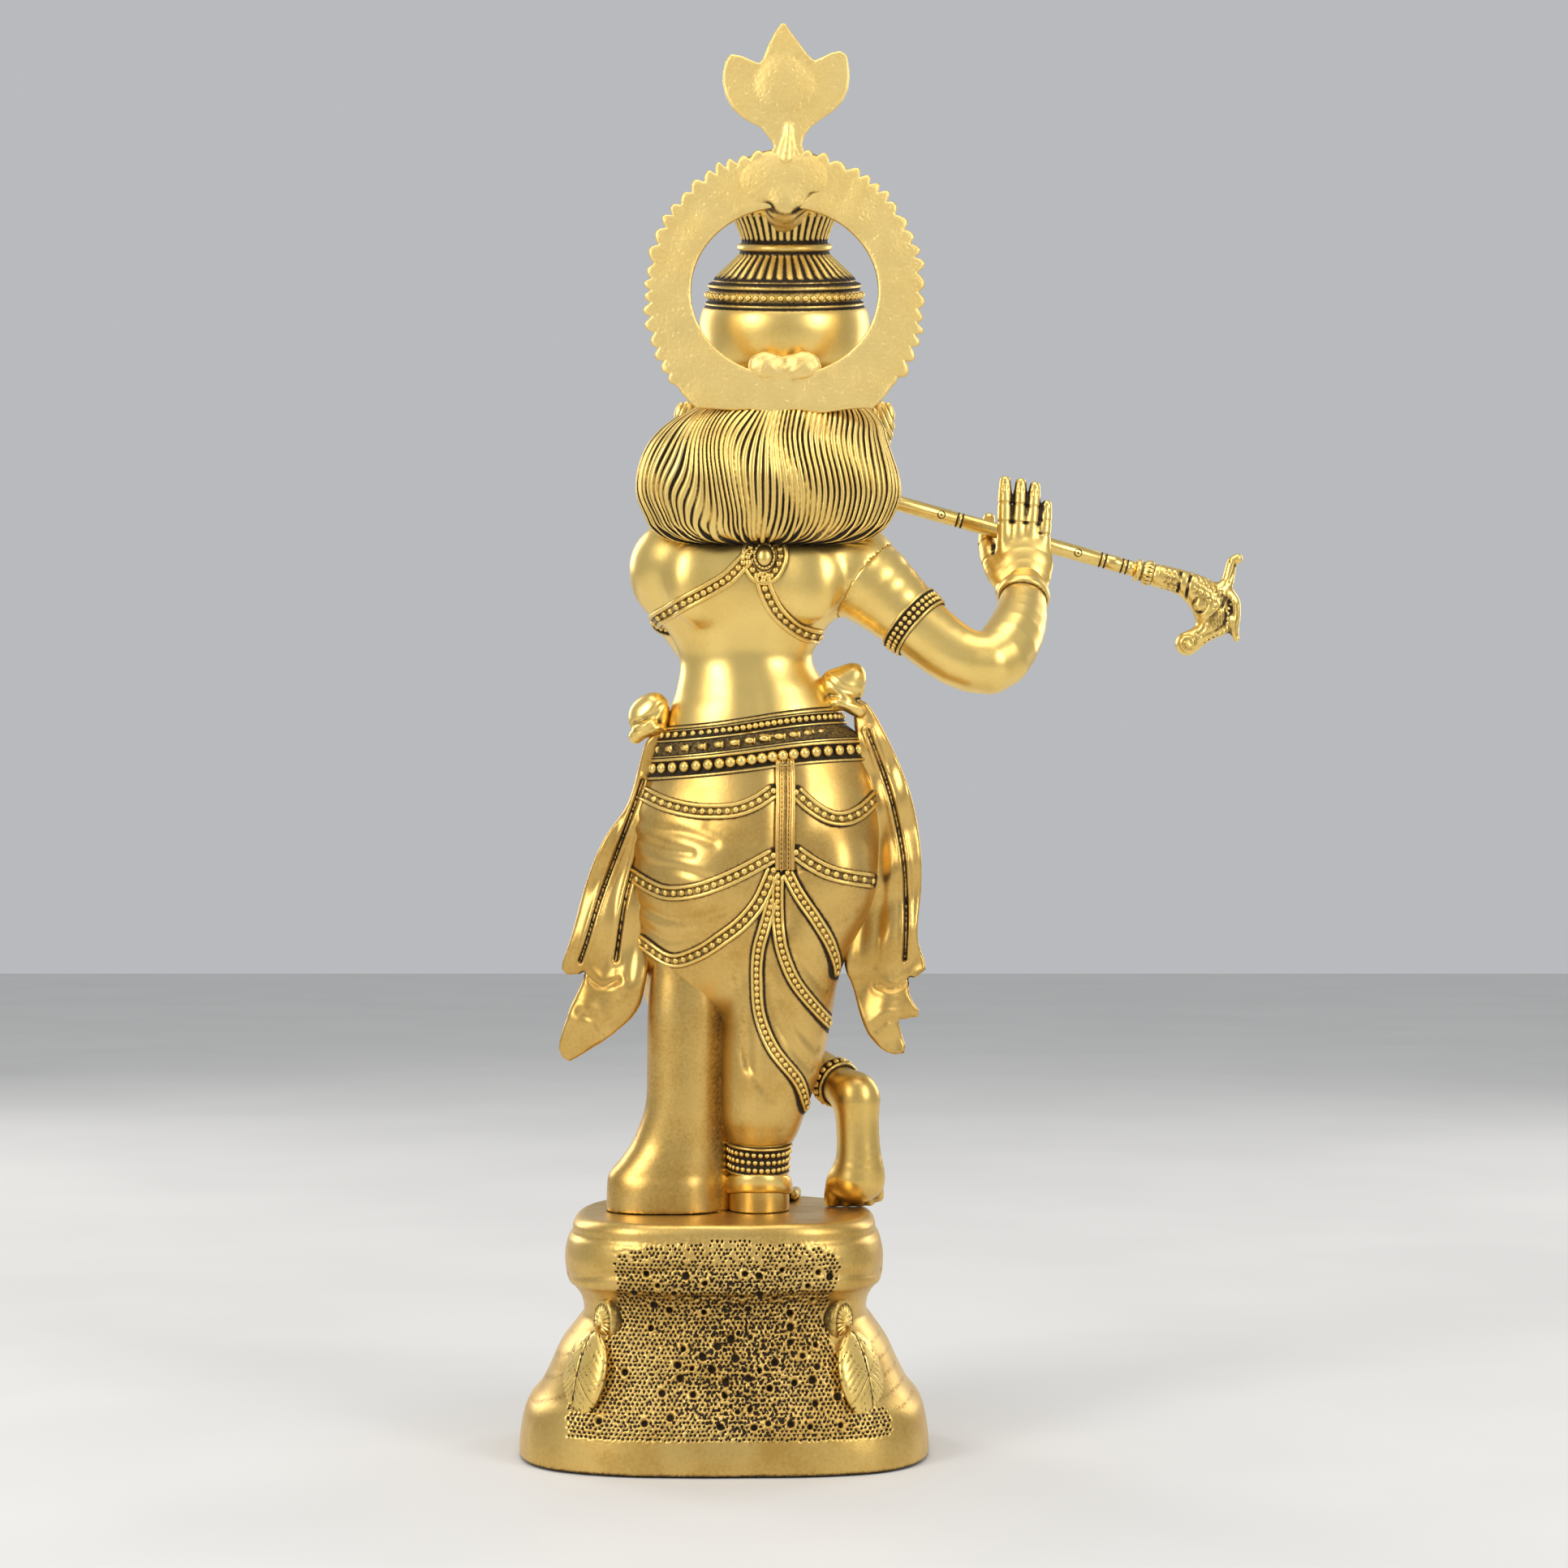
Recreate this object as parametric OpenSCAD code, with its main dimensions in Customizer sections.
// Standing flute-playing deity on a hollow pedestal, cast in brass as separate pieces brazed together.
// Frame: origin at the middle of the pedestal's underside, +Z up, the figure faces -Y, its left hand is +X.

/* [Pedestal] */
// full width of the pedestal at the floor, mm
ped_w = 286; // [240:1:320]
// full depth of the pedestal at the floor, mm
ped_d = 216; // [180:1:240]
// height of the pedestal's flat top, mm
ped_h = 166; // [150:1:180]
// wall thickness of the hollow pedestal casting, mm
ped_wall = 6; // [4:0.5:10]
// width of the stiffening bar across the open underside, mm
bar_w = 16; // [12:1:30]
// height of the stiffening bar, mm
bar_h = 8; // [6:1:12]

/* [Figure] */
// distance of the head's axis from the pedestal's middle, towards the figure's right, mm
head_off = 42; // [36:1:48]
// distance of the crown's axis in front of the pedestal's middle plane, mm
crown_fwd = 18; // [15:1:20]
// backward lean of the crown from upright, degrees
crown_lean = 11; // [0:0.5:12]
// widest radius of the pot-shaped crown, mm
crown_r = 60; // [54:1:62]
// how far the raised trims stand out of the cloth, mm
trim_t = 3.2; // [2:0.2:5]

/* [Halo] */
// radius of the halo plate without its teeth, mm
halo_r = 92.5; // [86:0.5:96]
// height of the rim teeth, mm
tooth_h = 5; // [3:0.5:7]
// number of rim teeth counted round the full circle
tooth_n = 56; // [40:1:64]
// thickness of the halo plate, mm
halo_t = 5; // [4:0.5:7]
// half width of the halo's opening, mm
open_w = 64; // [60:0.5:66]
// half height of the halo's opening, mm
open_h = 57.5; // [54:0.5:60]
// height of the halo's centre above the floor, mm
halo_z = 805; // [800:1:810]
// distance of the halo's front face behind the pedestal's middle plane, mm
halo_y = 51; // [50:0.5:54]

/* [Flute] */
// radius of the flute's rod, mm
rod_r = 5.5; // [4.5:0.1:6.5]
// length of the rod from its closed end to the collar, mm
rod_len = 314; // [300:1:325]
// slope of the flute down towards its head, degrees
flute_tilt = 15.6; // [14:0.1:17]
// room round the rod where it lies in the fingers, mm
grip_gap = 0.4; // [0.2:0.1:1]
// radius of the spigot on the rod's end that carries the flute's head, mm
spigot_r = 3.6; // [3:0.1:4.5]
// length of the spigot, mm
spigot_len = 14; // [10:1:16]
// radial clearance of the spigot in the collar, mm
spigot_gap = 0.08; // [0.02:0.01:0.1]

/* [View] */
// node to draw, or all

/* [Hidden] */
hx = -head_off;
flute_y = -62;
mouth_z = 690;
rod_in = 50;
head_s = rod_len + spigot_len + 4;
seg = 24;

// ---- smooth lists and lofted skins ----

// value at t on the smooth curve between b and c
function between(a, b, c, d, t) =
  0.5 * ((2 * b) + (c - a) * t + (2 * a - 5 * b + 4 * c - d) * t * t + (3 * b - a - 3 * c + d) * t * t * t);

// a list of stations made k times finer along a smooth curve
function fine(s, k) = [
  for (i = [0 : len(s) - 2])
    for (j = [0 : k - 1])
      between(s[max(i - 1, 0)], s[i], s[i + 1], s[min(i + 2, len(s) - 1)], j / k),
  s[len(s) - 1]
];

// signed power, for rounded-rectangle outlines
function spow(v, e) = sign(v) * pow(abs(v), e);

// unit vector
function unit(v) = v / norm(v);

// skin over rings that all have the same number of points
module skin(rings) {
  n = len(rings[0]);
  m = len(rings);
  polyhedron(
    points = [for (r = rings) each r],
    faces = concat(
      [[for (i = [0 : n - 1]) i]],
      [[for (i = [n - 1 : -1 : 0]) (m - 1) * n + i]],
      [for (k = [0 : m - 2]) for (i = [0 : n - 1]) [k * n + i, (k + 1) * n + i, k * n + (i + 1) % n]],
      [for (k = [0 : m - 2]) for (i = [0 : n - 1])
        [k * n + (i + 1) % n, (k + 1) * n + i, (k + 1) * n + (i + 1) % n]]
    ),
    convexity = 6
  );
}

// level outlines [x, y, z, rx, ry] stacked upwards; grow widens them, p squares them
module stack(s, k = 2, n = seg, p = 2, grow = 0) {
  skin([
    for (q = fine(s, k)) [
      for (i = [0 : n - 1])
        let (a = 360 * i / n)
          [q[0] + (q[3] + grow) * spow(cos(a), 2 / p), q[1] + (q[4] + grow) * spow(sin(a), 2 / p), q[2]]
    ]
  ]);
}

// round outlines [x, y, z, r1, r2] square to a bent centre line
module limb(s, k = 2, n = 14, ref = [0, 1, 0], grow = 0) {
  f = fine(s, k);
  skin([
    for (i = [0 : len(f) - 1])
      let (
        c = [f[i][0], f[i][1], f[i][2]],
        a = f[max(i - 1, 0)],
        b = f[min(i + 1, len(f) - 1)],
        t = unit([b[0] - a[0], b[1] - a[1], b[2] - a[2]]),
        u = unit(cross(ref, t)),
        v = cross(t, u)
      ) [
        for (j = [0 : n - 1])
          let (w = 360 * j / n) c + (f[i][3] + grow) * cos(w) * u + (f[i][4] + grow) * sin(w) * v
      ]
  ]);
}

// one casting: the first child less all the others
module cast() {
  resize([0, 0, 0]) difference() {
    children(0);
    if ($children > 1) children([1 : $children - 1]);
  }
}

// flat band of width w along a line of [x, z] points
function side(p, i) = let (
  a = p[max(i - 1, 0)],
  b = p[min(i + 1, len(p) - 1)],
  t = unit(b - a)
) [-t[1], t[0]];
module ribbon(p, w) {
  q = fine(p, 3);
  polygon(concat(
    [for (i = [0 : len(q) - 1]) q[i] + side(q, i) * w / 2],
    [for (i = [len(q) - 1 : -1 : 0]) q[i] - side(q, i) * w / 2]
  ));
}

// flat shape in X and Z, y0 to y1 deep
module slab(y0, y1) {
  translate([0, y1, 0]) rotate([90, 0, 0]) linear_extrude(y1 - y0) children();
}

// things drawn along the flute: +X is the way out, z = 0 is its axis
module on_flute() {
  translate([hx + rod_in, flute_y, mouth_z + rod_in * tan(flute_tilt)])
    rotate([0, 180 - flute_tilt, 0]) children();
}

// plain cylinder along the flute from s0 to s1
module along(s0, s1, r) {
  on_flute() translate([s0, 0, 0]) rotate([0, 90, 0]) cylinder(h = s1 - s0, r = r);
}

// collar band round a bent limb, at c, its hole along d
module band(c, d, r, w, t) {
  translate(c) rotate([0, acos(d[2] / norm(d)), atan2(d[1], d[0])])
    rotate_extrude($fn = 32) translate([r - 6, -w / 2]) square([6 + t, w]);
}

// ---- plain forms, before each is cut to its neighbours ----

ped_s = [
  [0, 0, 0, 1.000, 1.000], [0, 0, 16, 0.990, 0.990], [0, 0, 34, 0.960, 0.955], [0, 0, 46, 0.900, 0.890],
  [0, 0, 60, 0.850, 0.840], [0, 0, 75, 0.800, 0.800], [0, 0, 90, 0.725, 0.730], [0, 0, 98, 0.690, 0.700],
  [0, 0, 109, 0.700, 0.710], [0, 0, 117, 0.735, 0.760], [0, 0, 122, 0.765, 0.810], [0, 0, 137, 0.775, 0.830],
  [0, 0, 149, 0.760, 0.820], [0, 0, 154, 0.740, 0.805], [0, 0, 160, 0.735, 0.800], [0, 0, ped_h, 0.690, 0.770]
];
module f_pedestal(grow = 0) {
  stack([for (q = ped_s) [0, 0, q[2], q[3] * ped_w / 2, q[4] * ped_d / 2]], k = 1, n = 40, p = 3, grow = grow);
}
module f_hollow() {
  difference() {
    stack([for (q = concat([[0, 0, -2, 1, 1]], ped_s)) [0, 0, q[2], q[3] * ped_w / 2, q[4] * ped_d / 2]],
      k = 1, n = 40, p = 3, grow = -ped_wall);
    translate([0, 0, ped_h + 100 - ped_wall]) cube([400, 400, 200], center = true);
    // stiffening bar across the open underside
    translate([-200, -bar_w / 2, 0]) cube([400, bar_w, bar_h]);
  }
}

module f_drape() {
  stack([
    [43, 0, ped_h, 40, 30], [43, 0, 184, 39.5, 29], [42, 0, 193, 38.5, 27], [37.5, 0, 204, 34, 26],
    [33, 0, 218, 30, 25], [29, 1, 241, 26.5, 25], [28.5, 2, 267, 26, 25], [28, 3, 305, 26, 25],
    [27, 3, 345, 24, 22]
  ], k = 1);
}

module f_right_leg() {
  difference() {
    union() {
      stack([
        [-24, 0, ped_h - 8, 23, 25], [-24, 1, ped_h + 6, 21.5, 23.5], [-23.5, 5, 200, 19.5, 21],
        [-25, 8, 220, 22, 24], [-27, 10, 246, 27, 28]
      ], k = 1, n = 20);
      limb([
        [-24, 3, 176, 17, 13], [-26, -18, 176, 18.5, 15], [-28, -36, 172, 20, 14], [-31, -58, 168, 22.5, 12],
        [-33, -76, 165, 20, 9], [-34, -85, 163, 10, 5]
      ], k = 1, ref = [0, 0, 1]);
    }
    translate([0, 0, ped_h - 50]) cube([400, 400, 100], center = true);
  }
}

leg_cloth = [
  [-27, 10, 236, 29.5, 31], [-32, 10, 266, 35, 35], [-36, 9, 300, 38.5, 38], [-38, 8, 330, 42, 42],
  [-46, 4, 365, 46, 48], [-50, 0, 400, 48, 50]
];
hips = [
  [-13, -4, 334, 62, 44], [-17, -4, 355, 73, 52], [-21, -4, 385, 81, 58], [-25, -3, 420, 84, 60],
  [-26, -3, 450, 83, 57], [-24, -3, 476, 78, 51], [-23, -3, 498, 72, 46]
];
thigh = [
  [22, -4, 430, 44, 44], [24, -8, 390, 38, 44], [26, -14, 350, 32, 42], [26, -24, 325, 29, 37],
  [24, -34, 308, 27, 31]
];
module f_dhoti(grow = 0) {
  stack(leg_cloth, k = 1, grow = grow);
  stack(hips, k = 1, n = 28, grow = grow);
  limb([for (q = thigh) q], k = 1, ref = [0, 1, 0], n = 20, grow = grow);
}

module f_left_leg() {
  limb([
    [24, -30, 318, 25, 28], [22, -44, 300, 24, 24], [4, -54, 287, 21, 21], [-22, -56, 277, 19, 20],
    [-50, -50, 266, 17, 18], [-72, -32, 257, 15, 16], [-84, -14, 250, 14, 15]
  ], ref = [0, 0, 1]);
  limb([
    [-90, -12, 258, 9, 8], [-91, -10, 251, 14, 14], [-91.5, -8, 236, 14.5, 15], [-92, -8, 212, 13.5, 13],
    [-92.5, -10, 190, 18, 11], [-90, -14, 174, 21, 9], [-88, -18, ped_h, 18, 7]
  ], ref = [0, 1, 0]);
}

torso_s = [
  [-23, -3, 498, 66, 44], [-21, -3, 515, 60, 42], [-20, -4, 531, 54, 39], [-15, -5, 552, 46.5, 36],
  [-14, -5, 575, 55, 40], [-16, -4, 600, 64, 45], [-19, -2, 622, 69, 45], [-23, 0, 640, 62, 39],
  [-30, 0, 652, 44, 31], [-36, 0, 662, 27, 25]
];
module f_torso(grow = 0) { stack(torso_s, k = 1, n = 28, grow = grow); }

right_upper = [
  [-70, 2, 628, 20, 24], [-92, 4, 622, 25, 26], [-112, 8, 600, 25, 25], [-134, 14, 577, 22, 22],
  [-160, 20, 556, 21, 21], [-178, 22, 549, 21, 21], [-190, 17, 552, 22, 21], [-201, 4, 566, 21, 20],
  [-209, -16, 584, 18, 18], [-213, -40, 606, 14.5, 14]
];
module f_right_arm(grow = 0) { limb(right_upper, k = 1, n = 16, ref = [0.3, 1, 0.2], grow = grow); }

left_upper = [
  [40, 6, 626, 22, 24], [50, -4, 618, 23, 25], [44, -26, 602, 21, 23], [30, -54, 580, 19, 20],
  [16, -82, 562, 19, 19], [4, -94, 566, 19, 18], [-14, -98, 588, 18, 17], [-34, -101, 614, 15, 15],
  [-50, -99, 636, 12.5, 12]
];
module f_left_arm(grow = 0) { limb(left_upper, k = 1, n = 16, ref = [1, 0.2, 0], grow = grow); }

// one finger from its knuckle to its tip
module finger(p, r) {
  limb([for (i = [0 : len(p) - 1]) [p[i][0], p[i][1], p[i][2], r * (i == len(p) - 1 ? 0.45 : 1 - 0.06 * i),
    r * (i == len(p) - 1 ? 0.45 : 1 - 0.06 * i)]], k = 1, n = 10, ref = [1, 0.1, 0]);
}

module f_right_hand() {
  stack([
    [-213, -44, 604, 14, 12], [-213.5, -45, 614, 18, 12], [-213.5, -47, 626, 21, 11],
    [-213, -48.5, 634, 20.5, 9], [-213, -49, 642, 19, 6]
  ], k = 1, n = 20);
  finger([[-199, -49, 634], [-199, -49, 652], [-200, -50, 668], [-200, -51, 680], [-200, -51, 684]], 5);
  finger([[-208.5, -49, 634], [-209, -49, 652], [-211, -50, 668], [-212, -51, 679], [-212, -51, 683]], 5);
  finger([[-218, -49, 634], [-219, -49, 652], [-221, -50, 666], [-222, -51, 676], [-222, -51, 681]], 4.8);
  finger([[-227, -49, 630], [-229, -49, 645], [-230, -50, 656], [-230, -51, 664], [-230, -51, 668]], 4.4);
  finger([[-198, -46, 612], [-191, -54, 626], [-189, -66, 636], [-189, -73, 646], [-190, -74, 658]], 8);
}

module f_left_hand() {
  limb([
    [-48, -99, 634, 12, 11], [-58, -96, 645, 15, 11], [-70, -90, 656, 19, 10], [-78, -84, 668, 19, 8],
    [-80, -79, 674, 15, 5]
  ], k = 1, n = 16, ref = [0.4, 1, 0.4]);
  for (i = [0 : 3])
    let (x = -64 - 9.6 * i, z = mouth_z + (x - hx) * tan(flute_tilt))
      finger([[x, -84, z - 12], [x, -77, z + 1], [x, -70, z + 9], [x, -60, z + 11.5], [x, -54, z + 9]], 4.8);
  finger([[-60, -94, 650], [-62, -80, 658], [-68, -68, 663], [-78, -60, 663], [-84, -58, 662]], 6.5);
}

module f_head() {
  stack([
    [-36, 2, 648, 25, 24], [-40, 0, 664, 21, 20], [hx, -4, 684, 21, 21], [hx, -4, 700, 22, 22]
  ], k = 1);
  stack([
    [hx, -32, 667, 9, 9], [hx, -29, 670, 17, 17], [hx, -24, 678, 26, 27], [hx, -18, 690, 32, 36],
    [hx, -14, 704, 36.5, 41], [hx, -12, 722, 39, 44], [hx, -13, 740, 40, 45], [hx, -15, 762, 38, 41]
  ], k = 1, n = 28);
  // nose
  limb([[hx, -50, 728, 3, 3], [hx, -57, 714, 5, 5], [hx, -60, 706, 7.5, 5.5], [hx, -56, 702, 6, 3]],
    ref = [0, 1, 0.4], n = 12);
  // ears
  for (m = [-1, 1])
    translate([hx + m * 39, -10, 706]) scale([0.35, 0.75, 1.5]) sphere(r = 11, $fn = 20);
}

module f_hair() {
  stack([
    [-22, 36, 628, 34, 14], [-27, 36, 634, 58, 19], [-30, 35, 645, 78, 26], [-31, 33, 658, 88, 31],
    [-31, 31, 672, 91, 35], [-29, 29, 690, 88, 37], [-31, 26, 709, 81, 37], [-36, 22, 722, 72, 36],
    [-40, 18, 730, 58, 30]
  ], k = 1, n = 36);
}

module lean() {
  translate([hx, -crown_fwd, 752]) rotate([-crown_lean, 0, 0]) translate([0, 0, -752]) children();
}
module f_crown() {
  lean() rotate_extrude($fn = 96) polygon([
    [0, 752], [47, 752], [50, 754], [50, 757], [53, 758], [53, 761], [56, 764], [58.5, 771],
    [crown_r - 0.4, 780], [crown_r, 788], [crown_r - 0.8, 795], [57, 801], [55, 803.5], [55, 806], [56, 808],
    [56, 814], [53, 816], [52, 819], [49, 820], [44, 828], [37, 836], [31.5, 841], [33, 842], [33, 845.5],
    [30, 846.5], [30, 849], [33, 857], [37, 866], [38, 870], [35, 873], [28, 876], [26, 880], [28, 885],
    [24, 893], [12, 899], [6, 903], [0, 905]
  ]);
}

module f_halo() {
  translate([hx, halo_y + halo_t, halo_z]) rotate([90, 0, 0]) linear_extrude(halo_t) difference() {
    union() {
      circle(r = halo_r, $fn = 112);
      for (i = [0 : tooth_n - 1])
        rotate(360 * (i + 0.5) / tooth_n) polygon([
          [halo_r - 3, -4.6], [halo_r + 0.5, -4.6], [halo_r + tooth_h, 1.5], [halo_r + tooth_h - 1, 3.4],
          [halo_r, 4.6], [halo_r - 3, 4.6]
        ]);
    }
    translate([0, -2]) scale([open_w / open_h, 1]) circle(r = open_h, $fn = 80);
    translate([-120, -182]) square([240, 100]);
  }
}

flare = [[-39, 987], [-35, 980], [-28, 966], [-24.4, 959.7], [-15, 962.5], [-5, 964.5], [-1, 958], [0.6, 947],
  [-2, 936], [-8, 927], [-17, 920], [-26, 915], [-30, 908], [-34, 903], [-30, 897], [-62, 897], [-58, 903],
  [-56, 908], [-61, 916], [-70, 922], [-80, 931], [-85, 940], [-86.5, 949], [-86, 959], [-84, 966],
  [-77, 968], [-69, 965.5], [-62, 961.4], [-55, 970], [-47, 981], [-43, 987]];

// ---- the pieces ----

module pedestal() {
  color([0.79, 0.62, 0.27]) cast() {
    f_pedestal();
    f_hollow();
  }
}

module pedestal_rosettes() {
  color([0.82, 0.66, 0.3]) for (mx = [-1, 1]) for (my = [-1, 1]) cast() {
    translate([mx * 84, my * 62, 97]) rotate([0, 0, atan2(my * 62, mx * 84)]) scale([0.9, 1, 1.25])
      sphere(r = 14, $fn = 18);
    f_pedestal();
  }
}

module pedestal_leaves() {
  color([0.79, 0.62, 0.27]) for (mx = [-1, 1]) for (my = [-1, 1]) cast() {
    translate([mx * 97, my * 74, 63]) rotate([0, 0, atan2(my * 74, mx * 97)]) rotate([0, 35, 0])
      scale([0.6, 1.1, 1.6]) sphere(r = 12, $fn = 16);
    f_pedestal();
  }
}

module support_drape() {
  color([0.8, 0.63, 0.28]) cast() {
    f_drape();
    f_right_leg();
    f_dhoti();
    f_left_leg();
    f_ankle_ring();
    f_anklet();
    // inside of the casting, open below
    stack([[42, 0, ped_h - 2, 33, 23], [36, 0, 204, 26, 19], [29, 1, 241, 19, 18], [28, 3, 312, 18, 17]],
      k = 1, n = 20);
  }
}

module right_leg() {
  color([0.82, 0.66, 0.3]) cast() {
    f_right_leg();
    f_dhoti();
  }
}

module f_anklet() { band([-24, 6, 202], [-0.04, 0.1, 1], 22, 22, 2.4); }
module f_ankle_ring() { band([-24, 2, 184], [0, 0, 1], 22, 13, 4.5); }

module right_anklet() {
  color([0.72, 0.55, 0.22]) cast() {
    f_anklet();
    f_right_leg();
    f_dhoti();
    f_ankle_ring();
  }
}

module right_ankle_ring() {
  color([0.82, 0.66, 0.3]) cast() {
    f_ankle_ring();
    f_right_leg();
  }
}

module left_leg() {
  color([0.82, 0.66, 0.3]) cast() {
    f_left_leg();
    f_dhoti();
    f_right_leg();
    f_pedestal();
  }
}

module left_anklet() {
  color([0.72, 0.55, 0.22]) cast() {
    band([-78, -23, 253], [-0.55, 0.8, -0.3], 18, 9, 2.6);
    f_left_leg();
    f_dhoti();
    f_right_leg();
  }
}

module dhoti() {
  color([0.8, 0.63, 0.28]) cast() {
    f_dhoti();
    translate([0, 0, 598]) cube([400, 400, 200], center = true);
    // core left open at the waist joint
    stack([[-20, -3, 352, 46, 28], [-24, -3, 390, 62, 42], [-25, -3, 430, 69, 46], [-24, -3, 465, 66, 41],
      [-23, -3, 500, 60, 36]], k = 1);
  }
}

// raised cloth on the dhoti's back, inside a flat outline
module raised(y0 = 0, y1 = 90, t = trim_t) {
  intersection() {
    f_dhoti(t);
    slab(y0, y1) children();
  }
}
module t_tail() { ribbon([[-42, 482], [-42.5, 455], [-42, 430], [-42, 406]], 13); }
module t_swags() {
  ribbon([[58, 459], [40, 451], [23, 447], [9, 446], [-8, 447], [-22, 452], [-34, 460]], 9);
  ribbon([[-50, 459], [-61, 449], [-80, 439], [-92, 445], [-106, 456]], 9);
  ribbon([[67, 403], [51, 394], [37, 390], [15, 393], [-10, 403], [-34, 416]], 9);
  ribbon([[-50, 418], [-63, 409], [-77, 403], [-102, 398]], 9);
  ribbon([[58, 355], [37, 343], [18, 348], [1, 359], [-13, 370], [-25, 385], [-34, 406]], 9);
}
module t_trims() {
  ribbon([[-44, 404], [-52, 389], [-64, 371], [-72, 357], [-77, 343], [-79, 333]], 8);
  ribbon([[-37, 402], [-37, 379], [-39, 357], [-44, 340], [-51, 326], [-65, 308], [-76, 295]], 8);
  ribbon([[-33, 385], [-28, 366], [-24, 350], [-23, 330], [-25, 306], [-34, 283], [-51, 260], [-57, 240]], 8);
}

module dhoti_tail() {
  color([0.82, 0.66, 0.3]) cast() {
    raised() t_tail();
    f_dhoti();
    f_belt();
  }
}

module dhoti_swags() {
  color([0.72, 0.55, 0.22]) cast() {
    raised() difference() { t_swags(); t_tail(); }
    f_dhoti();
    f_sashes();
    f_drape();
  }
}

module dhoti_trims() {
  color([0.72, 0.55, 0.22]) cast() {
    raised() difference() { t_trims(); t_tail(); t_swags(); }
    f_dhoti();
    f_sashes();
    f_drape();
    f_right_leg();
  }
}

module f_pleats() {
  stack([
    [-22, -62, 292, 26, 7], [-22, -62, 320, 24, 8], [-22, -62, 380, 19, 8], [-22, -62, 440, 14, 8],
    [-22, -57, 480, 11, 8]
  ], k = 1, n = 24, p = 2.4);
}
module front_pleats() {
  color([0.8, 0.63, 0.28]) cast() {
    f_pleats();
    f_dhoti();
    f_belt();
    f_left_leg();
  }
}

module f_belt() {
  stack([
    [-24, -3, 478, 80, 54], [-24, -3, 484, 83, 57], [-23.5, -3, 500, 78, 53], [-22.5, -3, 514, 70, 49],
    [-22, -3, 519, 66, 46]
  ], k = 1, n = 40);
}
module waist_belt() {
  color([0.72, 0.55, 0.22]) cast() {
    f_belt();
    f_dhoti();
    f_torso();
  }
}

module f_left_sash() {
  slab(0, 14) polygon([
    [44, 496], [54, 492], [67, 453], [84, 427], [97, 396], [107, 359], [113, 337], [109, 332], [97, 333],
    [103, 319], [108, 305], [115, 281], [110, 272], [101, 275], [81, 288], [62, 305], [56, 328], [50, 387],
    [46, 444]
  ]);
}
module f_right_sash() {
  slab(0, 14) polygon([
    [-90, 522], [-99, 520], [-109, 507], [-125, 473], [-135, 438], [-138, 399], [-135, 359], [-140, 336],
    [-129, 329], [-129, 316], [-136, 304], [-122, 299], [-127, 279], [-112, 279], [-98, 295], [-91, 322],
    [-86, 342], [-90, 387], [-98, 444], [-94, 500]
  ]);
}
module f_sashes() {
  f_left_sash();
  f_right_sash();
}
module left_sash() {
  color([0.8, 0.63, 0.28]) cast() {
    f_left_sash();
    f_dhoti();
    f_belt();
    f_left_knot();
    f_drape();
  }
}
module right_sash() {
  color([0.8, 0.63, 0.28]) cast() {
    f_right_sash();
    f_dhoti();
    f_belt();
    f_right_knot();
  }
}

module f_left_knot() { translate([52, 2, 511]) scale([1.05, 0.9, 1.15]) sphere(r = 14, $fn = 20); }
module f_right_knot() { translate([-82, 4, 531]) scale([1.15, 0.9, 1.05]) sphere(r = 14.5, $fn = 20); }
module left_knot() {
  color([0.82, 0.66, 0.3]) cast() {
    f_left_knot();
    f_torso();
    f_belt();
    f_dhoti();
  }
}
module right_knot() {
  color([0.82, 0.66, 0.3]) cast() {
    f_right_knot();
    f_torso();
    f_belt();
    f_dhoti();
  }
}

module torso() {
  color([0.82, 0.66, 0.3]) cast() {
    f_torso();
    f_head();
    // core left open at the waist joint
    stack([[-23, -3, 496, 56, 34], [-20, -4, 531, 42, 27], [-15, -5, 552, 34, 24], [-16, -4, 590, 44, 30],
      [-18, -2, 615, 46, 30], [-22, 0, 630, 30, 20]]);
  }
}

module on_back(t) {
  intersection() {
    union() {
      f_torso(t);
      f_right_arm(t);
    }
    slab(4, 90) children();
  }
}
module t_boss() { translate([-28, 622]) scale([1, 1.25]) circle(r = 8, $fn = 28); }
module back_strap() {
  color([0.72, 0.55, 0.22]) cast() {
    on_back(3) difference() {
      union() {
        ribbon([[50, 580], [40, 584], [23, 592], [8, 600], [-3, 607], [-17, 622], [-26, 632]], 9);
        ribbon([[-26, 612], [-29, 598], [-43, 579], [-58, 569], [-76, 568]], 9);
      }
      t_boss();
    }
    f_torso();
    f_right_arm();
    f_hair();
  }
}
module strap_boss() {
  color([0.82, 0.66, 0.3]) cast() {
    on_back(5) t_boss();
    f_torso();
    f_hair();
    f_right_arm();
  }
}

module necklace() {
  color([0.72, 0.55, 0.22]) cast() {
    translate([-36, -6, 646]) rotate([24, 0, 0]) scale([1.15, 1, 1]) rotate_extrude($fn = 40)
      translate([36, 0]) circle(r = 6, $fn = 16);
    f_torso();
    f_head();
    f_hair();
    f_right_arm();
    f_left_arm();
  }
}

module right_arm() {
  color([0.82, 0.66, 0.3]) cast() {
    f_right_arm();
    f_torso();
    f_right_hand();
  }
}
module right_armlet() {
  color([0.72, 0.55, 0.22]) cast() {
    band([-133, 14, 578], [-0.74, 0.2, -0.66], 25, 11, 1.4);
    f_right_arm();
    f_torso();
  }
}
module right_bracelet() {
  color([0.82, 0.66, 0.3]) cast() {
    band([-212, -38, 603], [-0.14, -0.7, 0.75], 18, 12, 1.2);
    f_right_arm();
    f_right_hand();
  }
}
module right_hand() {
  color([0.82, 0.66, 0.3]) cast() {
    f_right_hand();
    along(-20, rod_len + 4, rod_r + grip_gap);
  }
}

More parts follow.
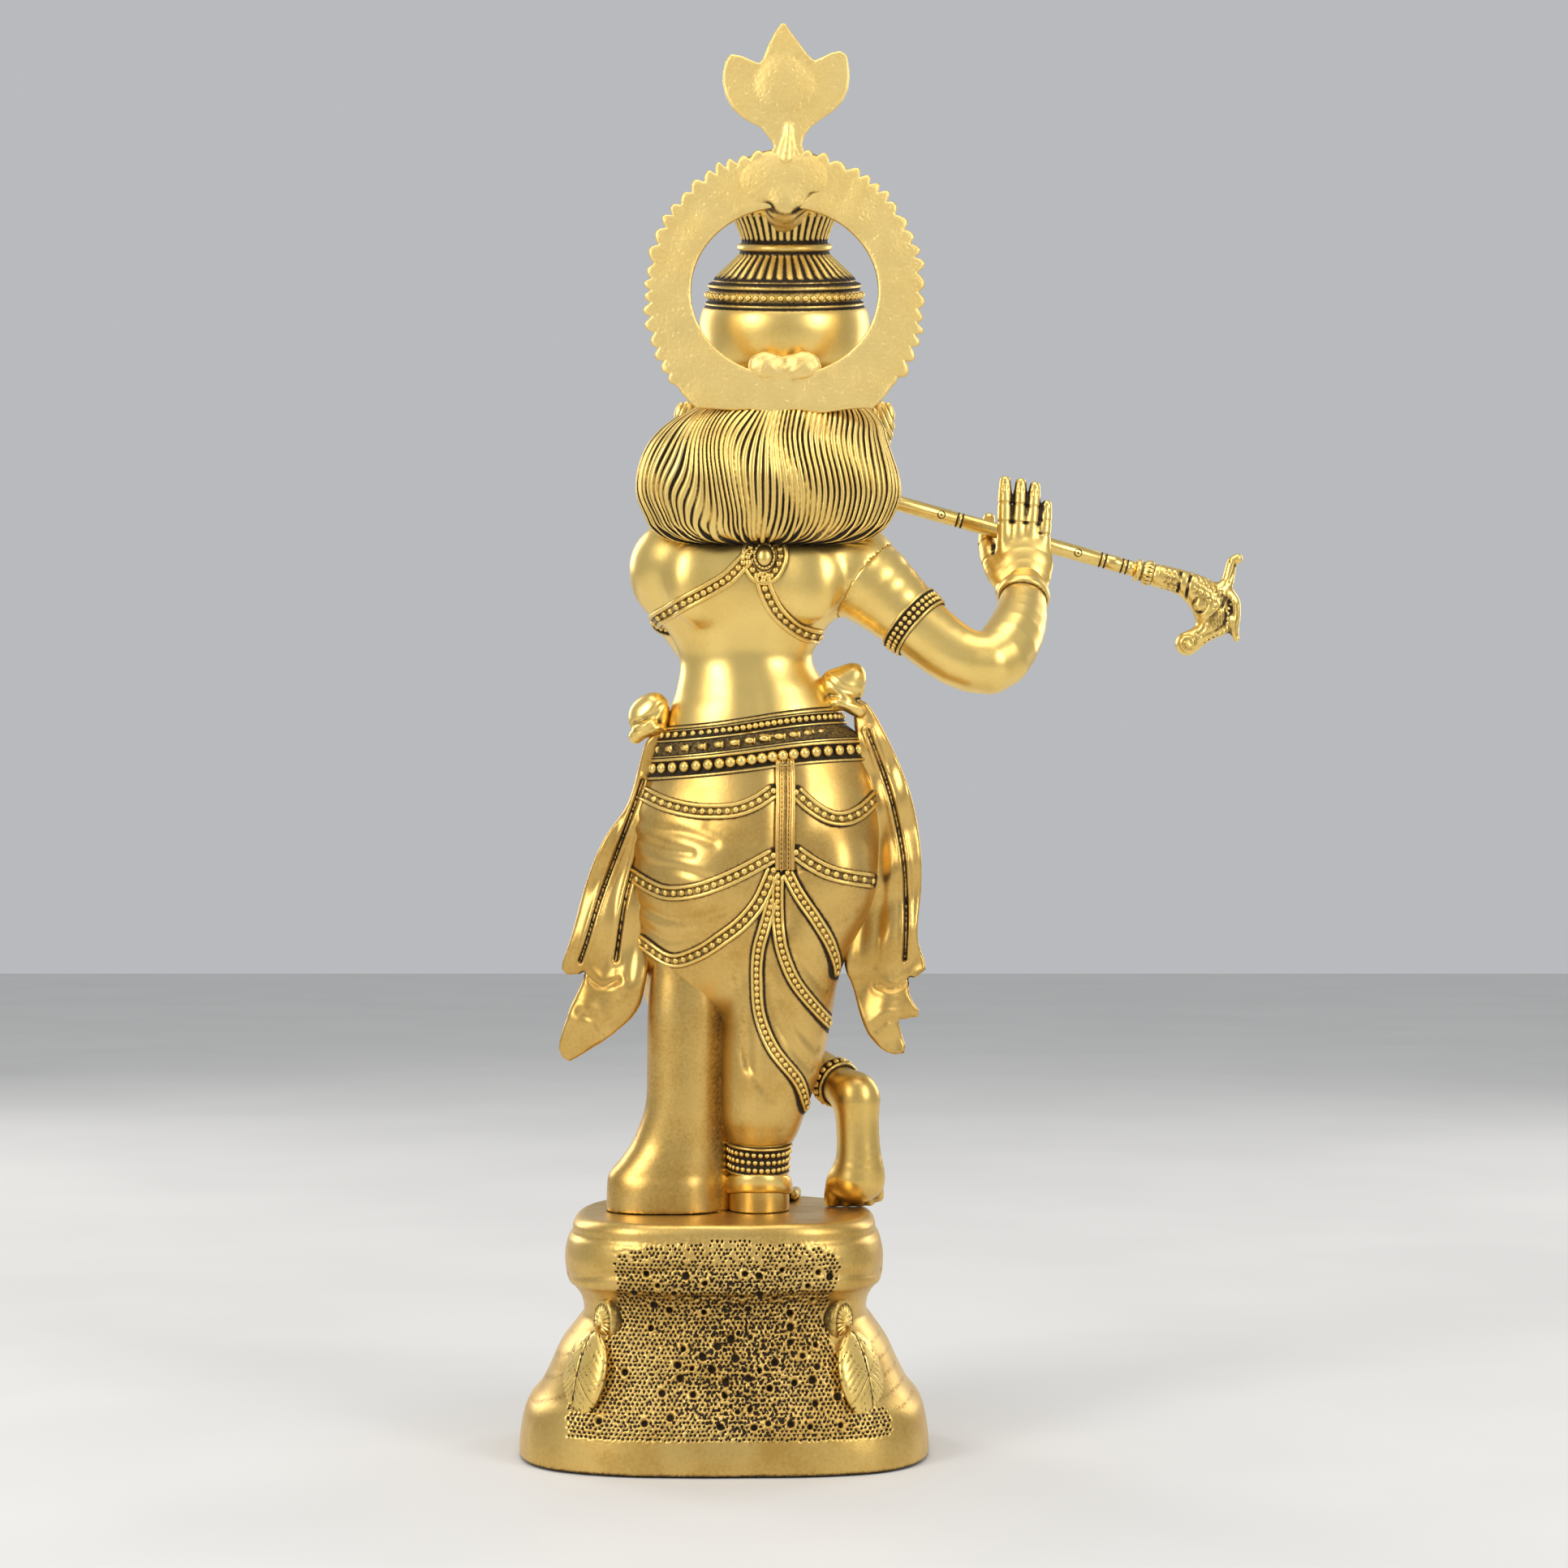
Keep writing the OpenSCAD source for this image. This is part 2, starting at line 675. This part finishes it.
module left_arm() {
  color([0.82, 0.66, 0.3]) cast() {
    f_left_arm();
    f_torso();
    f_left_hand();
  }
}
module left_armlet() {
  color([0.72, 0.55, 0.22]) cast() {
    band([38, -38, 592], [-0.4, -0.8, -0.6], 24, 11, 1.4);
    f_left_arm();
    f_torso();
  }
}
module left_bracelet() {
  color([0.82, 0.66, 0.3]) cast() {
    band([-44, -100, 627], [-0.6, 0, 0.8], 16, 11, 1.2);
    f_left_arm();
    f_left_hand();
  }
}
module left_hand() {
  color([0.82, 0.66, 0.3]) cast() {
    f_left_hand();
    along(-20, rod_len + 4, rod_r + grip_gap);
    f_head();
  }
}

module head() {
  color([0.82, 0.66, 0.3]) cast() {
    f_head();
    // the seat of the crown
    lean() translate([-100, -100, 752]) cube([200, 200, 60]);
    along(-20, rod_len + 4, rod_r + grip_gap);
    // inside of the casting, open to the crown
    stack([[hx, -11, 702, 22, 24], [hx, -11, 722, 31, 35], [hx, -14, 772, 32, 35]], k = 1, n = 20);
  }
}
module hair() {
  color([0.72, 0.55, 0.22]) cast() {
    f_hair();
    f_head();
    f_torso();
    f_right_arm();
    f_left_arm();
    f_halo();
  }
}
module f_fans() {
  for (m = [-1, 1])
    translate([hx + m * 62, -2, 712]) rotate([0, m * 18, 0]) scale([0.5, 0.28, 1]) sphere(r = 22, $fn = 20);
}
module ear_fans() {
  color([0.72, 0.55, 0.22]) cast() {
    f_fans();
    f_hair();
    f_head();
    f_halo();
  }
}
module earrings() {
  color([0.82, 0.66, 0.3]) for (m = [-1, 1]) cast() {
    translate([hx + m * 43, -14, 684]) scale([0.7, 0.8, 1.2]) sphere(r = 10, $fn = 16);
    f_head();
    f_hair();
    f_fans();
    f_torso();
    f_left_hand();
  }
}
// inside of the crown's casting, open below
module f_crown_core() {
  lean() rotate_extrude($fn = 64) polygon([
    [0, 750], [43, 750], [45, 758], [51, 764], [54, 772], [55.5, 788], [52, 800], [47, 812], [41, 818],
    [30, 831], [25, 840], [25, 850], [28, 860], [22, 868], [0, 872]
  ]);
}
module crown() {
  color([0.8, 0.63, 0.28]) difference() {
    f_crown();
    f_crown_core();
  }
}

module halo() {
  color([0.79, 0.62, 0.27]) f_halo();
}
module halo_top_bracket() {
  color([0.79, 0.62, 0.27]) cast() {
    stack([[hx, 34, 866, 15, 8], [hx, 36, 870, 19, 15], [hx, 37, 878, 22, 16], [hx, 38, 886, 16, 13.5]]);
    f_crown();
    f_halo();
  }
}
module halo_bottom_bracket() {
  color([0.79, 0.62, 0.27]) cast() {
    stack([[hx, 40, 732, 22, 11], [hx, 42, 744, 24, 12], [hx, 44, 756, 20, 10], [hx, 46, 762, 10, 6]]);
    f_crown();
    f_halo();
    f_head();
    f_hair();
  }
}
module feather_finial() {
  color([0.82, 0.66, 0.3]) cast() {
    slab(halo_y, halo_y + 6) polygon(flare);
    f_halo();
  }
}

module flute_rod() {
  color([0.84, 0.68, 0.32]) {
    along(0, rod_len, rod_r);
    along(rod_len, rod_len + spigot_len, spigot_r);
  }
}
module flute_collar() {
  color([0.72, 0.55, 0.22]) on_flute() difference() {
    rotate([0, 90, 0]) translate([0, 0, rod_len + 0.2]) rotate_extrude() polygon([
      [0, 0], [8.6, 0], [9.4, 2], [8.6, 4], [8, 5], [8, 12], [8.6, 13], [9.4, 15], [8.6, 17.8], [0, 17.8]
    ]);
    translate([rod_len - 1, 0, 0]) rotate([0, 90, 0]) cylinder(h = spigot_len + 2, r = spigot_r + spigot_gap);
  }
}
module flute_head() {
  color([0.84, 0.68, 0.32]) cast() {
    union() {
      limb([
        [-309, flute_y, 615, 9, 9], [-318, flute_y, 612.5, 9, 9], [-329, flute_y, 609, 9.5, 9.5],
        [-341, flute_y, 601, 14, 11], [-350, flute_y, 588, 15, 12], [-350, flute_y, 575, 11, 10],
        [-343, flute_y, 567, 8, 8], [-334, flute_y, 563, 9, 7], [-328, flute_y, 563, 5, 4]
      ], ref = [0, 1, 0]);
      limb([[-348, flute_y, 601, 6, 5], [-357, flute_y, 607, 5, 4], [-363, flute_y, 617, 4, 3],
        [-369, flute_y, 628, 2, 2]], ref = [0, 1, 0], k = 1, n = 12);
      limb([[-352, flute_y, 597, 6, 8], [-362, flute_y, 596, 5, 7], [-366, flute_y, 584, 4, 6],
        [-368, flute_y, 569, 2, 4]], ref = [0, 1, 0], k = 1, n = 12);
    }
    on_flute() translate([rod_len - 20, 0, 0]) rotate([0, 90, 0]) cylinder(h = 20 + 18.0, r = 30);
  }
}

pedestal();
pedestal_rosettes();
pedestal_leaves();
support_drape();
right_leg();
right_anklet();
right_ankle_ring();
left_leg();
left_anklet();
dhoti();
dhoti_tail();
dhoti_swags();
dhoti_trims();
front_pleats();
waist_belt();
left_sash();
right_sash();
left_knot();
right_knot();
torso();
back_strap();
strap_boss();
necklace();
right_arm();
right_armlet();
right_bracelet();
right_hand();
left_arm();
left_armlet();
left_bracelet();
left_hand();
head();
hair();
ear_fans();
earrings();
crown();
halo();
halo_top_bracket();
halo_bottom_bracket();
feather_finial();
flute_rod();
flute_collar();
flute_head();
